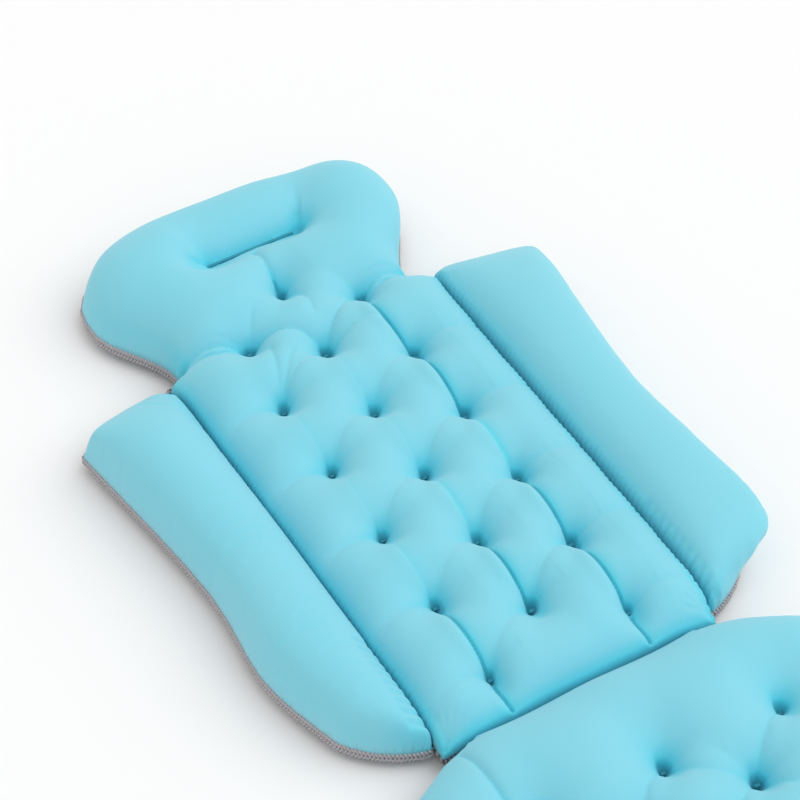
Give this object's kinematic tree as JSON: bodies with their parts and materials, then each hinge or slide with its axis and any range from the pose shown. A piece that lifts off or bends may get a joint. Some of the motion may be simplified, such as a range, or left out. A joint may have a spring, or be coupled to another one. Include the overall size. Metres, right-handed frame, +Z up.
{
  "type": "bath pillow",
  "caption": "Full-body tufted bath pillow: head, back and seat cushions with side bolsters on a mesh base with suction cups, folding along sewn seams.",
  "frame": {"origin": "on the surface that the cups stand on, under the middle of the mat's length and width", "axes": "+X across the mat, +Y from the seat toward the head, +Z up from the cups to the cushions"},
  "size_m": [0.45, 1.0274, 0.0794],
  "materials": {
    "cover_fabric": "matte stretch knit",
    "fibre_fill": "loose polyester fibre",
    "spacer_mesh": "spacer mesh with a ribbed edge",
    "seam_fabric": "rolled seam in cover fabric",
    "thread": "polyester sewing thread",
    "cup_vinyl": "translucent soft vinyl",
    "ribbon": "woven ribbon"
  },
  "bodies": {
    "head": {"head_cover": "cover_fabric", "head_fill": "fibre_fill", "head_base_mesh": "spacer_mesh", "head_tuft_1": "thread", "head_cup_1": "cup_vinyl", "head_cup_2": "cup_vinyl", "head_slit_stitch": "thread", "hanging_loop": "ribbon"},
    "back": {"back_cover": "cover_fabric", "back_fill": "fibre_fill", "back_base_mesh": "spacer_mesh", "back_tuft_1": "thread", "back_tuft_2": "thread", "back_tuft_3": "thread", "back_tuft_4": "thread", "back_tuft_5": "thread", "back_tuft_6": "thread", "back_tuft_7": "thread", "back_tuft_8": "thread", "back_tuft_9": "thread", "back_tuft_10": "thread", "back_tuft_11": "thread", "back_tuft_12": "thread", "back_tuft_13": "thread", "back_tuft_14": "thread", "back_tuft_15": "thread", "back_cup_1": "cup_vinyl", "back_cup_2": "cup_vinyl", "back_cup_3": "cup_vinyl", "back_cup_4": "cup_vinyl", "neck_seam": "seam_fabric", "waist_seam": "seam_fabric", "left_bolster_seam": "seam_fabric", "right_bolster_seam": "seam_fabric"},
    "left_bolster": {"left_bolster_cover": "cover_fabric", "left_bolster_fill": "fibre_fill", "left_bolster_base_mesh": "spacer_mesh"},
    "right_bolster": {"right_bolster_cover": "cover_fabric", "right_bolster_fill": "fibre_fill", "right_bolster_base_mesh": "spacer_mesh"},
    "seat": {"seat_cover": "cover_fabric", "seat_fill": "fibre_fill", "seat_base_mesh": "spacer_mesh", "seat_tuft_1": "thread", "seat_tuft_2": "thread", "seat_tuft_3": "thread", "seat_tuft_4": "thread", "seat_tuft_5": "thread", "seat_tuft_6": "thread", "seat_tuft_7": "thread", "seat_tuft_8": "thread", "seat_tuft_9": "thread", "seat_tuft_10": "thread", "seat_tuft_11": "thread", "seat_tuft_12": "thread", "seat_tuft_13": "thread", "seat_cup_1": "cup_vinyl", "seat_cup_2": "cup_vinyl", "seat_cup_3": "cup_vinyl", "seat_cup_4": "cup_vinyl"}
  },
  "joints": [
    {"name": "head_fold", "type": "hinge", "parent": "back", "child": "head", "pos_m": [0, 0.33235, 0.01], "axis": [1, 0, 0], "range_deg": [-100, 35]},
    {"name": "seat_fold", "type": "hinge", "parent": "back", "child": "seat", "pos_m": [0, -0.12165, 0.01], "axis": [-1, 0, 0], "range_deg": [-150, 55]},
    {"name": "left_bolster_fold", "type": "hinge", "parent": "back", "child": "left_bolster", "pos_m": [-0.128, 0.10535, 0.01], "axis": [0, 1, 0], "range_deg": [0, 35]},
    {"name": "right_bolster_fold", "type": "hinge", "parent": "back", "child": "right_bolster", "pos_m": [0.128, 0.10535, 0.01], "axis": [0, -1, 0], "range_deg": [0, 35]}
  ]
}
